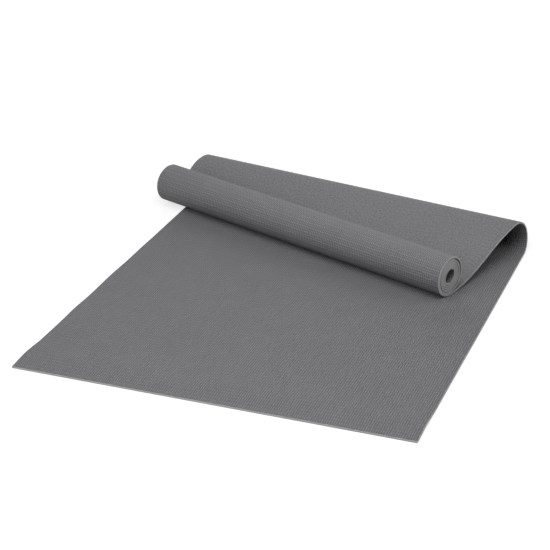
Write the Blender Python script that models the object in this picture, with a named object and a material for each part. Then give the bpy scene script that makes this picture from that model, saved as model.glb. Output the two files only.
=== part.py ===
"""A foam yoga mat, lying flat and folded back over itself, with its tail rolled up on top.

The mat is a laminate: an open polyester scrim between two layers of foam. Its textured face is up
where the mat lies flat, inside the fold, and outside on the roll.

Every stretch comes from one rule. A point of the flat mat is given by how far it lies across the
width and along the length, and the rule says where it goes when the mat is folded and rolled:
the mat lies flat up to a slanted line, turns over in a loop whose lines all run at the fold's skew,
comes down as a leaf that twists square to the roll, passes under the roll and winds up inward.

Metres, +Z up. The origin is on the underside, in the middle of the width and half way from the
front edge to the line where the mat lifts off. X runs along the roll's axis. The fold lies turned
from it by the fold's skew, and the flat stretch by twice that.
"""

import math

import bmesh
import bpy
from mathutils import Vector

# The mat as it is made
MAT_WIDTH = 0.610
MAT_LENGTH = 1.730
FACE_FOAM = 0.0011
SCRIM = 0.0004
BACK_FOAM = 0.0011
BOND_GAP = 0.0002

# The fold: the loop starts to lift at its own distance from the front edge, measured square to it
FOLD_SKEW = math.radians(10.25)
LIFT_OFF = 0.6935
FOLD_RADIUS = 0.0255
TIGHTEN_RUN = 0.020
WRAP_RUN = 0.0667
EASE_RUN = 0.020
FOLD_STRIPS = 8
STRIP_GAP = 0.0003

# The leaf from the fold down to the roll, and the roll itself
LEAF_SPAN = 0.1453
ROLL_DRIFT = 0.0155
ROLL_RADIUS = 0.033
REST_GAP = 0.0003
TURN_GAP = 0.00044
OUTER_SLACK = 0.0003

# How finely each stretch is faceted
STRIP_ROWS = 4
LEAF_COLUMNS = 8
LEAF_ROWS = 12
TURN_ROWS = 24
ARC_STEPS = 48
SIDE_SHARE = 0.001

MAT_THICKNESS = FACE_FOAM + SCRIM + BACK_FOAM + 2 * BOND_GAP
TURN_PITCH = MAT_THICKNESS + TURN_GAP
TURN_STEP = 2 * math.pi / TURN_ROWS
FOLD_RUN = TIGHTEN_RUN + WRAP_RUN + EASE_RUN

ROLL_AXIS = Vector((1, 0, 0))
ROLL_FORWARD = Vector((0, -1, 0))
ALONG_FOLD = Vector((math.cos(FOLD_SKEW), math.sin(FOLD_SKEW), 0))
ACROSS_FOLD = Vector((-math.sin(FOLD_SKEW), math.cos(FOLD_SKEW), 0))
ACROSS_MAT = Vector((math.cos(2 * FOLD_SKEW), math.sin(2 * FOLD_SKEW), 0))
ALONG_MAT = Vector((-math.sin(2 * FOLD_SKEW), math.cos(2 * FOLD_SKEW), 0))
UP = Vector((0, 0, 1))
FRONT_EDGE = -LIFT_OFF / 2 * ALONG_MAT

# Each layer's name with its lower and upper surface, counted from the middle of the laminate
LAYERS = {
    "face_foam": (MAT_THICKNESS / 2 - FACE_FOAM, MAT_THICKNESS / 2),
    "scrim": (BACK_FOAM + BOND_GAP - MAT_THICKNESS / 2, MAT_THICKNESS / 2 - FACE_FOAM - BOND_GAP),
    "back_foam": (-MAT_THICKNESS / 2, BACK_FOAM - MAT_THICKNESS / 2),
}
FINISHES = {
    "face_foam": ("textured_foam", (0.190, 0.188, 0.195), 0.85),
    "scrim": ("polyester_scrim", (0.420, 0.415, 0.405), 0.70),
    "back_foam": ("smooth_foam", (0.186, 0.184, 0.190), 0.75),
}


def clamp(value, low, high):
    return max(low, min(high, value))


def fold_heading(run):
    """How far the mat has turned over, this far past its lift-off: it tightens, holds, and eases."""
    tightened = clamp(run, 0, TIGHTEN_RUN)
    held = clamp(run - TIGHTEN_RUN, 0, WRAP_RUN)
    eased = clamp(run - TIGHTEN_RUN - WRAP_RUN, 0, EASE_RUN)
    turned = tightened**2 / (2 * TIGHTEN_RUN) + held + eased - eased**2 / (2 * EASE_RUN)
    return turned / FOLD_RADIUS


def fold_place(run):
    """Distance across the fold and height of the mat's middle surface, this far past lift-off."""
    step = run / ARC_STEPS
    headings = [fold_heading((index + 0.5) * step) for index in range(ARC_STEPS)]
    forward = sum(math.cos(heading) for heading in headings) * step
    height = sum(math.sin(heading) for heading in headings) * step
    return LIFT_OFF + forward, MAT_THICKNESS / 2 + height


def run_at_heading(heading):
    """The run past lift-off at which the mat has turned over this far, found by halving."""
    low, high = 0, FOLD_RUN
    for _ in range(ARC_STEPS):
        middle = (low + high) / 2
        low, high = (middle, high) if fold_heading(middle) < heading else (low, middle)
    return (low + high) / 2


def flat_end(across, run):
    """How far along the mat a line of the fold lies, where it crosses this place of the width."""
    return (LIFT_OFF + run - across * math.sin(FOLD_SKEW)) / math.cos(FOLD_SKEW)


def laid_point(across, share, offset):
    """The flat stretch, from the front edge to just short of the lift-off line."""
    along = share * flat_end(across, -STRIP_GAP / 2)
    return FRONT_EDGE + across * ACROSS_MAT + along * ALONG_MAT + (MAT_THICKNESS / 2 + offset) * UP


def fold_point(across, run, offset):
    """The loop, whose straight lines all run along the fold."""
    distance = LIFT_OFF + run
    sideways = (across - distance * math.sin(FOLD_SKEW)) / math.cos(FOLD_SKEW)
    place, height = fold_place(run)
    heading = fold_heading(run)
    place -= offset * math.sin(heading)
    height += offset * math.cos(heading)
    return FRONT_EDGE + sideways * ALONG_FOLD + place * ACROSS_FOLD + height * UP


def roll_centre():
    """The roll's axis at the middle of the mat's width."""
    foot = fold_point(0, FOLD_RUN, 0)
    foot.z = MAT_THICKNESS + REST_GAP + ROLL_RADIUS
    return foot + LEAF_SPAN * ROLL_FORWARD + ROLL_DRIFT * ROLL_AXIS


def turn_radius(angle):
    """Radius of the mat's middle surface, this far round the roll. The outer turn lies loose."""
    share = angle / (2 * math.pi)
    outer = ROLL_RADIUS - MAT_THICKNESS / 2
    if share < 1:
        return outer - (TURN_PITCH + OUTER_SLACK) * share**2 * (2 - share)
    return outer - OUTER_SLACK - TURN_PITCH * share


def turn_drop(angle):
    """How far the turns inside the loose outer one have settled."""
    share = clamp(angle / (2 * math.pi), 0, 1)
    return OUTER_SLACK * share**2 * (2 - share)


def section_point(angle, offset):
    """Forward and upward place in the roll's own section, from its centre."""
    radius = turn_radius(angle) + offset
    return radius * math.sin(angle), -radius * math.cos(angle) - turn_drop(angle)


def winding_place(row, end_angle, offset):
    """One row of the winding, in section. The last row stops part way along its facet, so that
    the facets of neighbouring turns stay even."""
    inset = STRIP_GAP / 2 / ROLL_RADIUS
    whole = section_point(max(row * TURN_STEP, inset), offset)
    if row * TURN_STEP <= end_angle:
        return whole
    before = section_point((row - 1) * TURN_STEP, offset)
    share = end_angle / TURN_STEP - (row - 1)
    return tuple(low + share * (high - low) for low, high in zip(before, whole))


def roll_point(across, section):
    """A point of the roll, from its place across the mat and in the roll's section."""
    forward, height = section
    return roll_centre() + across * ROLL_AXIS + forward * ROLL_FORWARD + height * UP


def leaf_middle(across, share):
    """The leaf's middle surface: it leaves the fold and meets the roll without a crease."""
    start = fold_point(across, FOLD_RUN, 0)
    end = roll_point(across, section_point(0, 0))
    heading = fold_heading(FOLD_RUN)
    down = math.cos(heading) * ACROSS_FOLD + math.sin(heading) * UP
    leaving = math.cos(FOLD_SKEW) * down - math.sin(FOLD_SKEW) * ALONG_FOLD
    reach = (end - start).length
    return (
        start * (1 + share**2 * (2 * share - 3))
        + end * (share**2 * (3 - 2 * share))
        + leaving * (reach * share * (1 - share) ** 2)
        + ROLL_FORWARD * (reach * share**2 * (share - 1))
    )


def leaf_point(across, share, offset):
    side = SIDE_SHARE * MAT_WIDTH
    sideways = leaf_middle(across + side, share) - leaf_middle(across - side, share)
    onwards = leaf_middle(across, share + SIDE_SHARE) - leaf_middle(across, share - SIDE_SHARE)
    return leaf_middle(across, share) + sideways.cross(onwards).normalized() * offset


def leaf_length():
    """Length of mat in the leaf, along the middle of its width."""
    points = [leaf_middle(0, index / ARC_STEPS) for index in range(ARC_STEPS + 1)]
    return sum((after - before).length for before, after in zip(points, points[1:]))


def rolled_angle(length):
    """How far round the roll this length of mat reaches."""
    step = TURN_STEP / ARC_STEPS
    angle = wound = 0
    while wound < length and turn_radius(angle) > MAT_THICKNESS:
        wound += turn_radius(angle + step / 2) * step
        angle += step
    return angle


def segment_gap(point, start, end):
    """Least distance from a point to a straight segment, all in the roll's section."""
    along = (end[0] - start[0], end[1] - start[1])
    away = (point[0] - start[0], point[1] - start[1])
    share = (away[0] * along[0] + away[1] * along[1]) / (along[0] ** 2 + along[1] ** 2)
    share = clamp(share, 0, 1)
    return math.hypot(away[0] - share * along[0], away[1] - share * along[1])


def least_turn_gap(end_angle):
    """Least clear gap between one turn's inner face and the next turn's outer face."""
    rows = math.ceil(end_angle / TURN_STEP)
    inner = [winding_place(row, end_angle, -MAT_THICKNESS / 2) for row in range(rows + 1)]
    outer = [winding_place(row, end_angle, MAT_THICKNESS / 2) for row in range(rows + 1)]
    inner += [((a[0] + b[0]) / 2, (a[1] + b[1]) / 2) for a, b in zip(inner, inner[1:])]
    gaps = []
    for point in inner:
        for row in range(TURN_ROWS // 2, rows):
            gap = segment_gap(point, outer[row], outer[row + 1])
            if math.hypot(*outer[row]) < math.hypot(*point):
                gaps.append(gap)
    return min(gaps)


def material(layer):
    """One finish for each node, named for its layer."""
    label, colour, roughness = FINISHES[layer]
    made = bpy.data.materials.new(label)
    made.use_nodes = True
    shader = made.node_tree.nodes["Principled BSDF"]
    shader.inputs["Base Color"].default_value = (*colour, 1)
    shader.inputs["Roughness"].default_value = roughness
    shader.inputs["Metallic"].default_value = 0
    made.diffuse_color = (*colour, 1)
    return made


def sheet_solid(name, layer, columns, rows, place, collection, carrier):
    """One layer of one stretch: a flat unit sheet given its thickness, then laid where it goes."""
    lower, upper = LAYERS[layer]
    mesh_data = bmesh.new()
    bmesh.ops.create_grid(mesh_data, x_segments=columns, y_segments=rows, size=0.5)
    bmesh.ops.triangulate(mesh_data, faces=mesh_data.faces[:], quad_method="FIXED")
    raised = bmesh.ops.extrude_face_region(
        mesh_data, geom=mesh_data.faces[:], use_keep_orig=True
    )
    for item in raised["geom"]:
        if isinstance(item, bmesh.types.BMVert):
            item.co.z = 1
    bmesh.ops.recalc_face_normals(mesh_data, faces=mesh_data.faces[:])
    for vertex in mesh_data.verts:
        across = vertex.co.x * MAT_WIDTH
        share = clamp(vertex.co.y + 0.5, 0, 1)
        offset = lower + (upper - lower) * vertex.co.z
        vertex.co = place(across, share, offset)
    mesh = bpy.data.meshes.new(name)
    mesh_data.to_mesh(mesh)
    mesh_data.free()
    mesh.materials.append(material(layer))
    mesh.shade_smooth()
    mesh.set_sharp_from_angle(angle=math.radians(40))
    node = bpy.data.objects.new(name, mesh)
    collection.objects.link(node)
    if carrier:
        node.parent = carrier
        node.matrix_parent_inverse = carrier.matrix_world.inverted()
    return node


def stretch(suffix, columns, rows, place, collection, carrier=None):
    """All three layers of one stretch of the mat."""
    for layer in LAYERS:
        sheet_solid(f"{layer}_{suffix}", layer, columns, rows, place, collection, carrier)


def hinge(number, run, collection, carrier):
    """An empty on the line of the fold's outer skin about which the mat bends open."""
    pivot = bpy.data.objects.new(f"fold_hinge_{number}", None)
    pivot.empty_display_size = FOLD_RADIUS
    pivot.rotation_euler.z = FOLD_SKEW
    collection.objects.link(pivot)
    place = fold_point(0, run, -MAT_THICKNESS / 2)
    if carrier:
        pivot.parent = carrier
        pivot.rotation_euler.z = 0
        place = carrier.matrix_world.inverted() @ place
    pivot.location = place
    bpy.context.view_layer.update()
    return pivot


def strip_place(start, end):
    """The rule for one strip of the fold, clear of its neighbours by half a gap at each end."""
    first, last = start + STRIP_GAP / 2, end - STRIP_GAP / 2

    def place(across, share, offset):
        return fold_point(across, first + share * (last - first), offset)

    return place


def leaf_place(across, share, offset):
    """The leaf's rule, starting and ending half a gap inside its ends."""
    inset = STRIP_GAP / leaf_length()
    return leaf_point(across, inset / 2 + share * (1 - inset), offset)


def roll_place(end_angle, rows):
    """The roll's rule, from its contact with the mat below to the end of the mat in its core."""

    def place(across, share, offset):
        return roll_point(across, winding_place(round(share * rows), end_angle, offset))

    return place


def clear_scene():
    for item in list(bpy.data.objects):
        bpy.data.objects.remove(item, do_unlink=True)


def build():
    clear_scene()
    collection = bpy.data.collections.new("yoga_mat")
    bpy.context.scene.collection.children.link(collection)

    stretch("laid", 1, 1, laid_point, collection)

    turned = fold_heading(FOLD_RUN)
    runs = [run_at_heading(turned * index / FOLD_STRIPS) for index in range(FOLD_STRIPS + 1)]
    runs[0], runs[-1] = 0, FOLD_RUN
    carrier = None
    for number, (start, end) in enumerate(zip(runs, runs[1:]), 1):
        carrier = hinge(number, start, collection, carrier)
        stretch(f"fold_{number}", 1, STRIP_ROWS, strip_place(start, end), collection, carrier)

    carrier = hinge(FOLD_STRIPS + 1, FOLD_RUN, collection, carrier)
    stretch("leaf", LEAF_COLUMNS, LEAF_ROWS, leaf_place, collection, carrier)

    wound = MAT_LENGTH - flat_end(0, FOLD_RUN) - leaf_length()
    end_angle = rolled_angle(wound)
    rows = math.ceil(end_angle / TURN_STEP)
    stretch("roll", 1, rows, roll_place(end_angle, rows), collection, carrier)

    print(f"leaf {leaf_length():.4f} m, wound {wound:.4f} m in {end_angle / 2 / math.pi:.2f} turns")
    print(f"core radius {turn_radius(end_angle) - MAT_THICKNESS / 2:.4f} m")
    print(f"least gap between turns {1000 * least_turn_gap(end_angle):.3f} mm")


build()
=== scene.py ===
"""A foam yoga mat, lying flat and folded back over itself, with its tail rolled up on top.

The mat is one laminate of two foams with a polyester scrim between them. Each layer is laid by
one rule, from a place on the flat mat to its place in the fold, the leaf or the roll. Its pieces
meet in the middle of the fold's strips and bend over the hinges between them. Metres, +Z up.
"""

import functools
import math

import bmesh
import bpy
from mathutils import Euler, Matrix, Vector, noise


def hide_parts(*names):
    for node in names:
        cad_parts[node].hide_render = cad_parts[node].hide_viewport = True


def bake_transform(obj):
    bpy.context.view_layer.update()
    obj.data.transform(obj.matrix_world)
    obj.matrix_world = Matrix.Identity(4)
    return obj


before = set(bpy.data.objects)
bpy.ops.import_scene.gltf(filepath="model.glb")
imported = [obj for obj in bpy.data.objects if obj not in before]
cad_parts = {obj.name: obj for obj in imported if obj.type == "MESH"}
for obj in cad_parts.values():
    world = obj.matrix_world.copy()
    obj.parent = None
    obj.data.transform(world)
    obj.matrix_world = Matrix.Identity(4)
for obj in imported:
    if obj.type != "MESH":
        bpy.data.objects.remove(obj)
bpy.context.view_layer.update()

# The mat as it is made
MAT_WIDTH = 0.610
MAT_LENGTH = 1.730
MAT_THICKNESS = 0.0030
SCRIM = 0.0004
CUT_ROUND = 0.0003

# The fold, the leaf and the roll, as in the part
FOLD_SKEW = math.radians(10.25)
LIFT_OFF = 0.6935
FOLD_RADIUS = 0.0255
TIGHTEN_RUN = 0.020
WRAP_RUN = 0.0667
EASE_RUN = 0.020
FOLD_STRIPS = 8
LEAF_SPAN = 0.1453
ROLL_DRIFT = 0.0155
ROLL_RADIUS = 0.033
REST_GAP = 0.0003

# How the turns lie in the roll: the gap inside each place of the winding, counted in turns from
# the bottom. The first half turn is drawn tight, the next stands loose on the right, and the inner
# turns are open on the right and a little at the bottom, so that the core leans back and sits high.
TURN_GAPS = (
    (0.00, 0.00005), (0.34, 0.00005), (0.50, 0.0009), (0.66, 0.0027), (0.88, 0.0026),
    (1.02, 0.0009), (1.24, 0.0014), (1.52, 0.0003), (1.74, 0.0016),
    (2.02, 0.0008), (2.22, 0.0003), (2.36, 0.0006), (2.54, 0.0001), (2.76, 0.0012),
    (3.02, 0.0009), (3.20, 0.0003), (3.36, 0.0006), (3.54, 0.0001), (3.76, 0.0010),
    (4.02, 0.0009), (4.20, 0.0003), (4.36, 0.0006), (4.54, 0.0001), (4.76, 0.0008),
    (5.00, 0.0008),
)

# How far the loose outer turn bulges out, by its place in the turn
TURN_BULGE = ((0.00, 0.0), (0.42, 0.0), (0.70, 0.0024), (0.98, 0.0), (1.00, 0.0))

# How far the roll's left end stands out past the mat's own width
LEFT_SPREAD = 0.0035

# How the flat stretch still lifts off the floor: an arch behind the front edge, a little uneven
# across the mat
HUMP_HEIGHT = 0.0026
HUMP_PLACE = 0.045
HUMP_REACH = 0.048
HUMP_MEAN = 0.85
HUMP_SWING = 0.3
HUMP_NOISE = 5

# Low waves in its two side edges, each with its place along the mat, its reach and its height, and
# for each side how far from the mat's middle they begin and over what width they grow
LEFT_WAVES = ((0.205, 0.05, 0.0011), (0.335, 0.07, 0.0011))
RIGHT_WAVES = ((0.26, 0.06, 0.0008), (0.43, 0.07, 0.00056))
LEFT_MARGIN = (0.12, 0.18)
RIGHT_MARGIN = (0.16, 0.14)

# A fine ripple all over, growing from nothing at the front edge
RIPPLE = 0.0004
RIPPLE_NOISE = (7, 9)
RIPPLE_START = 0.02

# Where the roll weighs it all down: how far along the middle, how much sooner for each metre to
# the right, and over what length it settles
WEIGHED_DOWN = 0.40
WEIGHED_SLANT = 0.36
WEIGHED_EASE = 0.06

# How finely curves are followed
ARC_STEPS = 48
SIDE_SHARE = 0.001
SLOPE_STEP = 0.002
WIND_STEP = math.radians(0.5)

# Rows and columns of the pieces' grids
WIDE_COLUMNS = 40
TAIL_COLUMNS = 24
FLAT_ROWS = 150
STRIP_ROWS = 20
LEAF_ROWS = 40
ROWS_A_TURN = 96

# What still counts as the rounding of a cut edge, and what angle stays a sharp edge
WITHIN_ROUND = 1.01 * CUT_ROUND
SHARP_ANGLE = math.radians(50)

FOLD_RUN = TIGHTEN_RUN + WRAP_RUN + EASE_RUN
TURN = 2 * math.pi
ROLL_AXIS = Vector((1, 0, 0))
ROLL_FORWARD = Vector((0, -1, 0))
ALONG_FOLD = Vector((math.cos(FOLD_SKEW), math.sin(FOLD_SKEW), 0))
ACROSS_FOLD = Vector((-math.sin(FOLD_SKEW), math.cos(FOLD_SKEW), 0))
ACROSS_MAT = Vector((math.cos(2 * FOLD_SKEW), math.sin(2 * FOLD_SKEW), 0))
ALONG_MAT = Vector((-math.sin(2 * FOLD_SKEW), math.cos(2 * FOLD_SKEW), 0))
UP = Vector((0, 0, 1))
FRONT_EDGE = -LIFT_OFF / 2 * ALONG_MAT

# Stations along the mat: the flat stretch, the fold, the leaf, then the turns of the roll
FOLD, LEAF, ROLL = 1, 2, 3

LAYERS = {
    "face_foam": (SCRIM / 2, MAT_THICKNESS / 2),
    "scrim": (-SCRIM / 2, SCRIM / 2),
    "back_foam": (-MAT_THICKNESS / 2, -SCRIM / 2),
}


def clamp(value, low, high):
    return max(low, min(high, value))


def smooth(value):
    value = clamp(value, 0, 1)
    return value * value * (3 - 2 * value)


def bell(value):
    """One at the middle, nothing from one reach away."""
    return smooth(1 - abs(value))


# ---------------------------------------------------------------- the flat stretch


def edge_waves(waves, along):
    return sum(height * bell((along - place) / reach) for place, reach, height in waves)


def floor_lift(across, along):
    """How high the flat stretch stands off the floor: the arch, left by the roll that it was kept
    in, and its edges' low waves, which die out where the roll weighs it down."""
    hump = HUMP_HEIGHT * bell((along - HUMP_PLACE) / HUMP_REACH)
    hump *= HUMP_MEAN + HUMP_SWING * noise.noise((across * HUMP_NOISE, 2.0, 0.5))
    waves = smooth((-across - LEFT_MARGIN[0]) / LEFT_MARGIN[1]) * edge_waves(LEFT_WAVES, along)
    waves += smooth((across - RIGHT_MARGIN[0]) / RIGHT_MARGIN[1]) * edge_waves(RIGHT_WAVES, along)
    ripple = 1 + noise.noise((across * RIPPLE_NOISE[0], along * RIPPLE_NOISE[1], 4.2))
    waves += RIPPLE * ripple * smooth(along / RIPPLE_START)
    return (hump + waves) * smooth((WEIGHED_DOWN - WEIGHED_SLANT * across - along) / WEIGHED_EASE)


def laid_point(across, share, offset):
    along = share * flat_end(across, 0)
    lift = floor_lift(across, along)
    rise = floor_lift(across, along + SLOPE_STEP) - floor_lift(across, along - SLOPE_STEP)
    slope = rise / (2 * SLOPE_STEP)
    place = FRONT_EDGE + across * ACROSS_MAT + (along - offset * slope) * ALONG_MAT
    return place + (MAT_THICKNESS / 2 + offset + lift) * UP


# ---------------------------------------------------------------- the fold


def fold_heading(run):
    """How far the mat has turned over, this far past lift-off: it tightens, holds, and eases."""
    tightened = clamp(run, 0, TIGHTEN_RUN)
    held = clamp(run - TIGHTEN_RUN, 0, WRAP_RUN)
    eased_off = clamp(run - TIGHTEN_RUN - WRAP_RUN, 0, EASE_RUN)
    turned = tightened**2 / (2 * TIGHTEN_RUN) + held + eased_off - eased_off**2 / (2 * EASE_RUN)
    return turned / FOLD_RADIUS


@functools.lru_cache(maxsize=None)
def fold_place(run):
    """Distance across the fold and height of the mat's middle surface, this far past lift-off."""
    step = run / ARC_STEPS
    headings = [fold_heading((index + 0.5) * step) for index in range(ARC_STEPS)]
    forward = sum(math.cos(heading) for heading in headings) * step
    height = sum(math.sin(heading) for heading in headings) * step
    return LIFT_OFF + forward, MAT_THICKNESS / 2 + height


def run_at_heading(heading):
    """The run past lift-off at which the mat has turned over this far, found by halving."""
    low, high = 0, FOLD_RUN
    for _ in range(ARC_STEPS):
        middle = (low + high) / 2
        low, high = (middle, high) if fold_heading(middle) < heading else (low, middle)
    return (low + high) / 2


def flat_end(across, run):
    """How far along the mat a line of the fold lies, where it crosses this place of the width."""
    return (LIFT_OFF + run - across * math.sin(FOLD_SKEW)) / math.cos(FOLD_SKEW)


def fold_point(across, run, offset):
    """The loop, whose straight lines all run along the fold."""
    distance = LIFT_OFF + run
    sideways = (across - distance * math.sin(FOLD_SKEW)) / math.cos(FOLD_SKEW)
    place, height = fold_place(run)
    heading = fold_heading(run)
    place -= offset * math.sin(heading)
    height += offset * math.cos(heading)
    return FRONT_EDGE + sideways * ALONG_FOLD + place * ACROSS_FOLD + height * UP


# ---------------------------------------------------------------- the roll


@functools.lru_cache(maxsize=None)
def roll_centre_place():
    foot = fold_point(0, FOLD_RUN, 0)
    foot.z = MAT_THICKNESS + REST_GAP + ROLL_RADIUS
    return tuple(foot + LEAF_SPAN * ROLL_FORWARD + ROLL_DRIFT * ROLL_AXIS)


def eased(table, turns):
    """A table's value at this place of the winding, eased from one of its entries to the next."""
    for (start, before), (end, after) in zip(table, table[1:]):
        if turns < end:
            return before + (after - before) * smooth((turns - start) / (end - start))
    return table[-1][1]


@functools.lru_cache(maxsize=None)
def turn_radius(angle):
    """Radius of the mat's middle surface: every turn lies on the one outside it, less its gap."""
    turns = angle / TURN
    whole = int(turns)
    radius = ROLL_RADIUS - MAT_THICKNESS / 2 + eased(TURN_BULGE, turns - whole)
    radius -= (MAT_THICKNESS + TURN_GAPS[0][1]) * (turns - whole)
    for back in range(1, whole + 1):
        radius -= MAT_THICKNESS + eased(TURN_GAPS, turns - back)
    return radius


def roll_point(across, angle, offset):
    radius = turn_radius(angle) + offset
    forward, height = radius * math.sin(angle), -radius * math.cos(angle)
    along_axis = across - LEFT_SPREAD * smooth(-2 * across / MAT_WIDTH)
    centre = Vector(roll_centre_place())
    return centre + along_axis * ROLL_AXIS + forward * ROLL_FORWARD + height * UP


# ---------------------------------------------------------------- the leaf, from fold to roll


@functools.lru_cache(maxsize=None)
def leaf_middle(across, share):
    """The leaf's middle surface: it leaves the fold and meets the roll without a crease."""
    start = fold_point(across, FOLD_RUN, 0)
    end = roll_point(across, 0, 0)
    heading = fold_heading(FOLD_RUN)
    down = math.cos(heading) * ACROSS_FOLD + math.sin(heading) * UP
    leaving = math.cos(FOLD_SKEW) * down - math.sin(FOLD_SKEW) * ALONG_FOLD
    reach = (end - start).length
    return (
        start * (1 + share**2 * (2 * share - 3))
        + end * (share**2 * (3 - 2 * share))
        + leaving * (reach * share * (1 - share) ** 2)
        + ROLL_FORWARD * (reach * share**2 * (share - 1))
    )


@functools.lru_cache(maxsize=None)
def leaf_normal(across, share):
    side = SIDE_SHARE * MAT_WIDTH
    sideways = leaf_middle(across + side, share) - leaf_middle(across - side, share)
    onwards = leaf_middle(across, share + SIDE_SHARE) - leaf_middle(across, share - SIDE_SHARE)
    return sideways.cross(onwards).normalized()


def leaf_point(across, share, offset):
    return leaf_middle(across, share) + leaf_normal(across, share) * offset


def leaf_length():
    """Length of mat in the leaf, along the middle of its width."""
    points = [leaf_middle(0, index / ARC_STEPS) for index in range(ARC_STEPS + 1)]
    return sum((after - before).length for before, after in zip(points, points[1:]))


# ---------------------------------------------------------------- from the flat mat to its place


FLAT_TO_ROLL = flat_end(0, FOLD_RUN) + leaf_length()


@functools.lru_cache(maxsize=None)
def wound_lengths():
    """Length of mat wound up to each small step of the roll, out to the mat's whole length."""
    lengths, wound, angle = [0], 0, 0
    while wound < MAT_LENGTH - FLAT_TO_ROLL:
        wound += turn_radius(angle + WIND_STEP / 2) * WIND_STEP
        angle += WIND_STEP
        lengths.append(wound)
    return tuple(lengths)


def wound_length(angle):
    lengths = wound_lengths()
    whole = min(int(angle / WIND_STEP), len(lengths) - 2)
    return lengths[whole] + (angle / WIND_STEP - whole) * (lengths[whole + 1] - lengths[whole])


def mat_point(across, station, offset):
    """Where a place of the mat lies: its distance across, its station and its depth."""
    if station <= FOLD:
        return laid_point(across, station, offset)
    if station <= LEAF:
        return fold_point(across, (station - FOLD) * FOLD_RUN, offset)
    if station <= ROLL:
        return leaf_point(across, station - LEAF, offset)
    return roll_point(across, (station - ROLL) * TURN, offset)


def flat_place(across, station):
    """How far along the flat mat a station is, at this place of its width."""
    if station <= FOLD:
        return station * flat_end(across, 0)
    if station <= LEAF:
        return flat_end(across, (station - FOLD) * FOLD_RUN)
    if station <= ROLL:
        start = flat_end(across, FOLD_RUN)
        return start + (station - LEAF) * (FLAT_TO_ROLL - start)
    return FLAT_TO_ROLL + wound_length((station - ROLL) * TURN)


# ---------------------------------------------------------------- the pieces of each layer


def spaced(start, end, steps):
    return [start + (end - start) * index / steps for index in range(steps + 1)]


def cut_shares():
    """Places within the rounding of a cut edge, counted inwards from it."""
    return [CUT_ROUND * share for share in (0, 0.13, 0.5, 1)]


def width_columns(steps):
    """Places across the mat, closer together where its cut edges round over."""
    half = MAT_WIDTH / 2
    left = [depth - half for depth in cut_shares()]
    return left + spaced(left[-1], -left[-1], steps)[1:-1] + [-place for place in reversed(left)]


def rounding(depth):
    """How far a face drops at this depth from a cut edge."""
    share = clamp(depth / CUT_ROUND, 0, 1)
    return CUT_ROUND * (1 - math.sqrt(share * (2 - share)))


def layer_depth(layer, upper_side, across, along, front_cut):
    """Depth in the laminate of a layer's side. The mat's two faces round over at its cut edges."""
    lower, upper = LAYERS[layer]
    drop = rounding(MAT_WIDTH / 2 - abs(across))
    if front_cut:
        drop = max(drop, rounding(along))
    if upper_side:
        return upper - drop if layer == "face_foam" else upper
    return lower + drop if layer == "back_foam" else lower


def two_sided_grid(column_count, row_count):
    """A flat grid with its own thickness, its lower side at 0 and its upper side at 1."""
    grid = bmesh.new()
    bmesh.ops.create_grid(grid, x_segments=column_count - 1, y_segments=row_count - 1, size=0.5)
    raised = bmesh.ops.extrude_face_region(grid, geom=grid.faces[:], use_keep_orig=True)
    for item in raised["geom"]:
        if isinstance(item, bmesh.types.BMVert):
            item.co.z = 1
    bmesh.ops.recalc_face_normals(grid, faces=grid.faces[:])
    return grid


def layer_mesh(name, layer, columns, stations, front_cut):
    """A grid laid by the mat's rule. Its UV map is the flat mat in metres, and an attribute marks
    the cut faces and their rounding."""
    grid = two_sided_grid(len(columns), len(stations))
    flat_map = grid.loops.layers.uv.new("flat_mat")
    cut_mark = grid.faces.layers.float.new("cut")
    for face in grid.faces:
        if abs(face.normal.z) < 0.5:
            face[cut_mark] = 1
    flat_places = {}
    for vertex in grid.verts:
        column = round((vertex.co.x + 0.5) * (len(columns) - 1))
        row = round((vertex.co.y + 0.5) * (len(stations) - 1))
        across, station = columns[column], stations[row]
        along = flat_place(across, station)
        depth = layer_depth(layer, vertex.co.z > 0.5, across, along, front_cut)
        flat_places[vertex.index] = (across, along)
        vertex.co = mat_point(across, station, depth)
    for face in grid.faces:
        from_edge = []
        for loop in face.loops:
            across, along = flat_places[loop.vert.index]
            loop[flat_map].uv = (across, along)
            from_edge.append(min(MAT_WIDTH / 2 - abs(across), along, MAT_LENGTH - along))
        if max(from_edge) < WITHIN_ROUND:
            face[cut_mark] = 1
    mesh = bpy.data.meshes.new(name)
    grid.to_mesh(mesh)
    grid.free()
    mesh.materials.append(FINISHES[layer])
    mesh.shade_smooth()
    mesh.set_sharp_from_angle(angle=SHARP_ANGLE)
    return mesh


def sheet_cut(columns, stations):
    """The sheet a stretch is cut from, width and length, and how much of it the stretch takes.
    In the fold it is cut along the fold's slant, elsewhere square to the mat."""
    first, last = flat_place(0, stations[0]), flat_place(0, stations[-1])
    area = MAT_WIDTH * (last - first)
    if FOLD <= stations[0] and stations[-1] <= LEAF:
        slanted = MAT_WIDTH / math.cos(FOLD_SKEW)
        return (slanted, area / slanted), area
    ends = [flat_place(across, station) for station in (stations[0], stations[-1])
            for across in (columns[0], columns[-1])]
    return (MAT_WIDTH, max(ends) - min(ends)), area


def layer_piece(name, layer, columns, stations, front_cut=False):
    """One layer of one stretch of the mat."""
    mesh = layer_mesh(name, layer, columns, stations, front_cut)
    piece = bpy.data.objects.new(name, mesh)
    bpy.context.scene.collection.objects.link(piece)
    if layer == "scrim":
        cut, area = sheet_cut(columns, stations)
    return piece


def fold_station(run):
    return FOLD + run / FOLD_RUN


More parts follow.
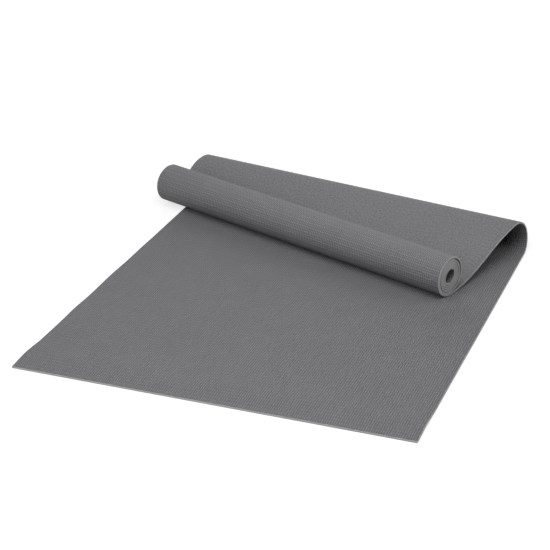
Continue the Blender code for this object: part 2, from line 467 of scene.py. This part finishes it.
def build_mat():
    """Each layer's pieces: the flat one, one over each hinge of the fold, and the tail."""
    turned = fold_heading(FOLD_RUN)
    runs = [run_at_heading(turned * index / FOLD_STRIPS) for index in range(FOLD_STRIPS + 1)]
    runs[0], runs[-1] = 0, FOLD_RUN
    middles = [(before + after) / 2 for before, after in zip(runs, runs[1:])]
    end_station = ROLL + (len(wound_lengths()) - 1) * WIND_STEP / TURN
    turn_rows = round((end_station - ROLL) * ROWS_A_TURN)
    bodies = ["laid_mat"] + [f"strip_{number}" for number in range(1, FOLD_STRIPS + 1)]
    bodies.append("rolled_tail")
    columns = width_columns(WIDE_COLUMNS)
    for layer in LAYERS:
        front = [depth / flat_end(0, 0) for depth in cut_shares()]
        stations = front + spaced(front[-1], 1, FLAT_ROWS)[1:]
        stations += [fold_station(run) for run in spaced(0, middles[0], STRIP_ROWS // 2)[1:]]
        piece = layer_piece(f"{layer}_flat", layer, columns, stations, front_cut=True)
        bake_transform(piece)
        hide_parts(f"{layer}_laid")

        for number in range(1, FOLD_STRIPS):
            start, end = middles[number - 1], middles[number]
            stations = [fold_station(run) for run in spaced(start, end, STRIP_ROWS)]
            piece = layer_piece(f"{layer}_bend_{number}", layer, columns, stations)
            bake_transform(piece)
            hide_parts(f"{layer}_fold_{number}")

        stations = [fold_station(run) for run in spaced(middles[-1], FOLD_RUN, STRIP_ROWS // 2)]
        stations += spaced(LEAF, ROLL, LEAF_ROWS)[1:]
        stations += spaced(ROLL, end_station, turn_rows)[1:]
        piece = layer_piece(f"{layer}_tail", layer, width_columns(TAIL_COLUMNS), stations)
        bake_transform(piece)
        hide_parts(f"{layer}_fold_{FOLD_STRIPS}", f"{layer}_leaf", f"{layer}_roll")


# ---------------------------------------------------------------- shader helpers


def height_group(name, place):
    """An empty shader group that turns a place into a height, and its two end nodes."""
    group = bpy.data.node_groups.new(name, "ShaderNodeTree")
    group.interface.new_socket(place, in_out="INPUT", socket_type="NodeSocketVector")
    group.interface.new_socket("Height", in_out="OUTPUT", socket_type="NodeSocketFloat")
    return group, group.nodes.new("NodeGroupInput"), group.nodes.new("NodeGroupOutput")


def new_finish(name):
    """An empty material, its shader, and the flat mat's own map in metres."""
    made = bpy.data.materials.new(name)
    made.use_nodes = True
    tree = made.node_tree
    flat_map = tree.nodes.new("ShaderNodeUVMap")
    flat_map.uv_map = "flat_mat"
    return made, tree, tree.nodes["Principled BSDF"], flat_map.outputs["UV"]


def feed(tree, socket, value):
    """Links an output to a socket, or sets the socket's own value."""
    if isinstance(value, bpy.types.NodeSocket):
        tree.links.new(value, socket)
    elif value is not None:
        socket.default_value = value


def math_node(tree, operation, first, second=None, third=None):
    node = tree.nodes.new("ShaderNodeMath")
    node.operation = operation
    for socket, value in zip(node.inputs, (first, second, third)):
        feed(tree, socket, value)
    return node.outputs[0]


def wave_node(tree, value, turns, operation="COSINE"):
    """A wave over a value, this many turns for each unit of it."""
    return math_node(tree, operation, math_node(tree, "MULTIPLY", value, TURN * turns))


def noise_node(tree, vector, scale, detail=2.0, rough=0.5):
    node = tree.nodes.new("ShaderNodeTexNoise")
    feed(tree, node.inputs["Vector"], vector)
    feed(tree, node.inputs["Scale"], scale)
    feed(tree, node.inputs["Detail"], detail)
    feed(tree, node.inputs["Roughness"], rough)
    return node.outputs["Fac"]


def range_node(tree, value, low, high, new_low, new_high):
    node = tree.nodes.new("ShaderNodeMapRange")
    for label, given in zip(("Value", "From Min", "From Max", "To Min", "To Max"),
                            (value, low, high, new_low, new_high)):
        feed(tree, node.inputs[label], given)
    return node.outputs["Result"]


def uneven(tree, noise_value, swing):
    """A tone about 1 from a noise, this much lighter and darker."""
    return range_node(tree, noise_value, NOISE_LOW, NOISE_HIGH, 1 - swing, 1 + swing)


def colour_mix(tree, share, first, second):
    node = tree.nodes.new("ShaderNodeMix")
    node.data_type = "RGBA"
    feed(tree, node.inputs["Factor"], share)
    feed(tree, node.inputs["A"], first)
    feed(tree, node.inputs["B"], second)
    return node.outputs["Result"]


def tinted(tree, colour, tone):
    """A colour made lighter or darker by a tone."""
    node = tree.nodes.new("ShaderNodeVectorMath")
    node.operation = "SCALE"
    node.inputs[0].default_value = colour
    feed(tree, node.inputs["Scale"], tone)
    return node.outputs[0]


def split_place(tree, vector):
    node = tree.nodes.new("ShaderNodeSeparateXYZ")
    feed(tree, node.inputs[0], vector)
    return node.outputs


def add_bump(tree, shader, height, distance):
    bump = tree.nodes.new("ShaderNodeBump")
    bump.inputs["Strength"].default_value = 1.0
    bump.inputs["Distance"].default_value = distance
    feed(tree, bump.inputs["Height"], height)
    feed(tree, shader.inputs["Normal"], bump.outputs["Normal"])


# ---------------------------------------------------------------- finishes

# The grip texture: ribs along the mat, broken into rows across it, every second row a little
# lower, and each rib swinging sideways a little with the rows
RIB_PITCH = 0.0035
ROW_PITCH = 0.0041
RIB_SWING = 0.10
WANDER_SCALE = 60.0
ROW_WANDER = 0.25
RIB_WANDER = 0.35
ROW_LEVEL = 0.58
ROW_RISE = 0.30
SECOND_ROW_RISE = 0.16
SKIN_SCALE = 1400.0
SKIN_RISE = 0.12
GRIP_MEAN = 0.35

# The pebbled back
PEBBLE_SCALE = 360.0
PEBBLE_MEAN = 0.5

# The open cells of the cut faces: how far a cell reaches from its middle, in cell widths, its tone
# at the middle and at the rim, and how far the rim sinks, as a share of the face's own relief
CELL_SCALE = 2600.0
CELL_REACH = 0.6
CELL_TONES = (1.1, 0.8)
RIM_SINK = -0.05
CUT_ROUGHNESS = 0.95
# The cut faces' colour: partly the cut foam's own lighter colour, partly painted light that makes
# them show bright without a lamp on their side
CUT_COLOUR_WITH_PAINTED_LIGHT = (0.700, 0.693, 0.704)

# A noise's usual lowest and highest value
NOISE_LOW, NOISE_HIGH = 0.3, 0.7

# Unevenness of the foam's colour, and how much lighter the foam is painted from where the roll
# begins: painted light on the roll
CLOUD_SCALE = 9.0
GRAIN_SCALE = 520.0
WEAR = 0.2
ROLL_PAINTED_LIGHT = 1.16
ROLL_LIGHT_START = FLAT_TO_ROLL - 0.01
ROLL_LIGHT_END = FLAT_TO_ROLL + 0.03

THREAD_PITCH = 0.0011
THREAD_RELIEF = 0.0001


def grip_group():
    """The grip bumps: a height from 0 to about 1, from the flat mat's own map."""
    group, given, out = height_group("grip_bumps", "Flat Mat")
    place = split_place(group, given.outputs["Flat Mat"])
    wander = noise_node(group, given.outputs["Flat Mat"], WANDER_SCALE)
    wander = math_node(group, "SUBTRACT", wander, 0.5)
    wander = math_node(group, "MULTIPLY", wander, ROW_WANDER)
    row = math_node(group, "DIVIDE", place["Y"], ROW_PITCH)
    row = math_node(group, "ADD", row, wander)
    rib = math_node(group, "DIVIDE", place["X"], RIB_PITCH)
    rib = math_node(group, "MULTIPLY_ADD", wave_node(group, row, 1, "SINE"), RIB_SWING, rib)
    rib = math_node(group, "MULTIPLY_ADD", wander, RIB_WANDER, rib)
    rib_top = math_node(group, "MULTIPLY_ADD", wave_node(group, rib, 1), 0.5, 0.5)
    row_top = math_node(group, "MULTIPLY_ADD", wave_node(group, row, 1), ROW_RISE, ROW_LEVEL)
    second_row = wave_node(group, row, 0.5)
    row_top = math_node(group, "MULTIPLY_ADD", second_row, SECOND_ROW_RISE, row_top)
    group.links.new(math_node(group, "MULTIPLY", rib_top, row_top), out.inputs["Height"])
    return group


def cut_group():
    """Open foam cells on a cut face: a height from 0 at a cell's middle to 1 at its rim."""
    group, given, out = height_group("cut_cells", "Vector")
    cells = group.nodes.new("ShaderNodeTexVoronoi")
    cells.inputs["Scale"].default_value = CELL_SCALE
    group.links.new(given.outputs["Vector"], cells.inputs["Vector"])
    height = range_node(group, cells.outputs["Distance"], 0.0, CELL_REACH, 0.0, 1.0)
    group.links.new(height, out.inputs["Height"])
    return group


def grip_relief(tree, flat_map):
    bumps = tree.nodes.new("ShaderNodeGroup")
    bumps.node_tree = GRIP_BUMPS
    feed(tree, bumps.inputs["Flat Mat"], flat_map)
    skin = noise_node(tree, flat_map, SKIN_SCALE)
    return math_node(tree, "MULTIPLY_ADD", skin, SKIN_RISE, bumps.outputs["Height"]), GRIP_MEAN


def pebble_relief(tree, flat_map):
    pebbles = noise_node(tree, flat_map, PEBBLE_SCALE)
    return range_node(tree, pebbles, NOISE_LOW, NOISE_HIGH, 0.0, 1.0), PEBBLE_MEAN


def foam(name, colour, roughness, relief, relief_depth, mottle, speckle, hollow_shade):
    """A foam finish. relief gives a height over the face, from 0 to 1, and how high it is on
    average; painted shade makes its hollows darker, by the share that the last argument gives.
    The cut faces have open cells."""
    made, tree, shader, flat_map = new_finish(name)
    place = tree.nodes.new("ShaderNodeTexCoord").outputs["Object"]
    cut_mark = tree.nodes.new("ShaderNodeAttribute")
    cut_mark.attribute_name = "cut"
    cut = cut_mark.outputs["Fac"]
    face_height, mean_height = relief(tree, flat_map)
    cells = tree.nodes.new("ShaderNodeGroup")
    cells.node_tree = CUT_CELLS
    feed(tree, cells.inputs["Vector"], place)
    cell_height = cells.outputs["Height"]

    cloud = uneven(tree, noise_node(tree, flat_map, CLOUD_SCALE, 4.0, 0.55), mottle)
    grain = uneven(tree, noise_node(tree, flat_map, GRAIN_SCALE, 2.0, 0.6), speckle)
    # Painted shade: the grip's hollows and the pebbles' dips are darker than their tops
    darkest = 1 - hollow_shade * mean_height
    shade = range_node(tree, face_height, 0.0, 1.0, darkest, darkest + hollow_shade)
    along = split_place(tree, flat_map)["Y"]
    # Painted light: the foam is made lighter on the roll and its turns
    roll_light = range_node(tree, along, ROLL_LIGHT_START, ROLL_LIGHT_END, 1.0, ROLL_PAINTED_LIGHT)
    tone = math_node(tree, "MULTIPLY", math_node(tree, "MULTIPLY", cloud, grain), shade)
    tone = math_node(tree, "MULTIPLY", tone, roll_light)
    cut_tone = range_node(tree, cell_height, 0.0, 1.0, *CELL_TONES)
    paint = colour_mix(tree, cut, tinted(tree, colour, tone), tinted(tree, CUT_COLOUR_WITH_PAINTED_LIGHT, cut_tone))
    feed(tree, shader.inputs["Base Color"], paint)

    worn = math_node(tree, "MULTIPLY_ADD", cloud, WEAR, roughness - WEAR)
    rough = math_node(tree, "MAXIMUM", worn, math_node(tree, "MULTIPLY", cut, CUT_ROUGHNESS))
    feed(tree, shader.inputs["Roughness"], rough)
    shader.inputs["Specular IOR Level"].default_value = 0.25
    shader.inputs["Metallic"].default_value = 0

    uncut = math_node(tree, "SUBTRACT", 1.0, cut)
    raised = math_node(tree, "MULTIPLY", face_height, uncut)
    rims = math_node(tree, "MULTIPLY", cell_height, cut)
    add_bump(tree, shader, math_node(tree, "MULTIPLY_ADD", rims, RIM_SINK, raised), relief_depth)
    return made


def scrim_finish():
    """Woven polyester threads, crossing along and across the mat."""
    made, tree, shader, flat_map = new_finish("polyester_scrim")
    place = split_place(tree, flat_map)
    waves = [wave_node(tree, place[axis], 1 / THREAD_PITCH) for axis in ("X", "Y")]
    tops = [math_node(tree, "MULTIPLY_ADD", wave, 0.5, 0.5) for wave in waves]
    threads = math_node(tree, "MAXIMUM", *tops)
    paint = colour_mix(tree, threads, (0.20, 0.198, 0.20, 1), (0.46, 0.455, 0.445, 1))
    feed(tree, shader.inputs["Base Color"], paint)
    feed(tree, shader.inputs["Roughness"], range_node(tree, threads, 0.0, 1.0, 0.85, 0.6))
    add_bump(tree, shader, threads, THREAD_RELIEF)
    return made


GRIP_BUMPS = grip_group()
CUT_CELLS = cut_group()
FINISHES = {
    "face_foam": foam(
        "grip_foam", (0.196, 0.194, 0.201), roughness=0.82, relief=grip_relief,
        relief_depth=0.0013, mottle=0.025, speckle=0.11, hollow_shade=1.00,
    ),
    "scrim": scrim_finish(),
    "back_foam": foam(
        "pebbled_foam", (0.196, 0.194, 0.200), roughness=0.75, relief=pebble_relief,
        relief_depth=0.00030, mottle=0.02, speckle=0.08, hollow_shade=0.60,
    ),
}


# ---------------------------------------------------------------- the studio

# The camera, as fitted to the photograph: its place, dip below level, heading and small roll
CAMERA_PLACE = (1.50542, -1.79278, 1.13403)
CAMERA_DIP = 0.43439
CAMERA_HEADING = 0.70875
CAMERA_ROLL = 0.00324
CAMERA_LENS = 108.2

# The floor's glow as seen, near the mat and far from it: together with its light it shows white
FLOOR_COLOUR = (0.5, 0.5, 0.5, 1)
GLOW_NEAR, GLOW_FAR = 0.68, 0.97
GLOW_START, GLOW_END = 0.6, 1.8

# Softboxes: name, bearing, height, distance, size and power. Bearing 0 is the camera's side, and
# 90 is on its right; bearing and height are in degrees
SOFTBOXES = (
    ("overhead", 0, 89, 1.3, 0.9, 5.0),
    ("front_high", 5, 60, 1.3, 0.8, 4.9),
    ("left_low", -55, 33, 3.0, 1.8, 32),
    ("left_high", -90, 50, 3.0, 1.4, 4),
    ("right_side", 92, 34, 3.0, 1.6, 19),
    ("behind_low", 180, 22, 3.0, 1.8, 20),
)


def when_seen(tree):
    """One for camera, glossy and transmission rays, and nothing for the light on the mat."""
    path = tree.nodes.new("ShaderNodeLightPath")
    seen = math_node(tree, "MAXIMUM", path.outputs["Is Camera Ray"], path.outputs["Is Glossy Ray"])
    return math_node(tree, "MAXIMUM", seen, path.outputs["Is Transmission Ray"])


def build_floor():
    grid = bmesh.new()
    bmesh.ops.create_grid(grid, x_segments=4, y_segments=4, size=8)
    mesh = bpy.data.meshes.new("studio_floor")
    grid.to_mesh(mesh)
    grid.free()
    floor = bpy.data.objects.new("studio_floor", mesh)
    bpy.context.scene.collection.objects.link(floor)
    made = bpy.data.materials.new("studio_white")
    made.use_nodes = True
    tree = made.node_tree
    shader = tree.nodes["Principled BSDF"]
    shader.inputs["Base Color"].default_value = FLOOR_COLOUR
    shader.inputs["Roughness"].default_value = 0.9
    shader.inputs["Specular IOR Level"].default_value = 0.0
    shader.inputs["Emission Color"].default_value = (1, 1, 1, 1)
    away = tree.nodes.new("ShaderNodeVectorMath")
    away.operation = "LENGTH"
    feed(tree, away.inputs[0], tree.nodes.new("ShaderNodeTexCoord").outputs["Object"])
    glow = range_node(tree, away.outputs["Value"], GLOW_START, GLOW_END, GLOW_NEAR, GLOW_FAR)
    glow = math_node(tree, "MULTIPLY", when_seen(tree), glow)
    feed(tree, shader.inputs["Emission Strength"], glow)
    mesh.materials.append(made)


def build_world():
    """White where it is seen, and no light of its own on the mat."""
    world = bpy.data.worlds.new("studio_air")
    bpy.context.scene.world = world
    world.use_nodes = True
    air = world.node_tree.nodes["Background"]
    air.inputs["Color"].default_value = (1, 1, 1, 1)
    feed(world.node_tree, air.inputs["Strength"], when_seen(world.node_tree))


def softbox(name, bearing, height, distance, size, power):
    """A square softbox aimed at the mat."""
    light = bpy.data.lights.new(name, "AREA")
    light.shape = "SQUARE"
    light.size = size
    light.energy = power
    lamp = bpy.data.objects.new(name, light)
    round_mat = math.atan2(CAMERA_PLACE[1], CAMERA_PLACE[0]) + math.radians(bearing)
    level, rise = math.cos(math.radians(height)), math.sin(math.radians(height))
    towards = Vector((math.cos(round_mat) * level, math.sin(round_mat) * level, rise))
    lamp.location = towards * distance
    lamp.rotation_euler = towards.to_track_quat("Z", "Y").to_euler()
    bpy.context.scene.collection.objects.link(lamp)


def build_camera():
    data = bpy.data.cameras.new("product_camera")
    data.lens = CAMERA_LENS
    data.sensor_width = 36
    data.clip_start, data.clip_end = 0.05, 60
    camera = bpy.data.objects.new("product_camera", data)
    turn = Euler((math.pi / 2 - CAMERA_DIP, 0, CAMERA_HEADING)).to_matrix()
    turn = turn @ Matrix.Rotation(CAMERA_ROLL, 3, "Z")
    camera.matrix_world = Matrix.Translation(CAMERA_PLACE) @ turn.to_4x4()
    bpy.context.scene.collection.objects.link(camera)
    bpy.context.scene.camera = camera


build_mat()
build_floor()
build_world()
build_camera()
for settings in SOFTBOXES:
    softbox(*settings)
bpy.context.scene.view_settings.view_transform = "Standard"
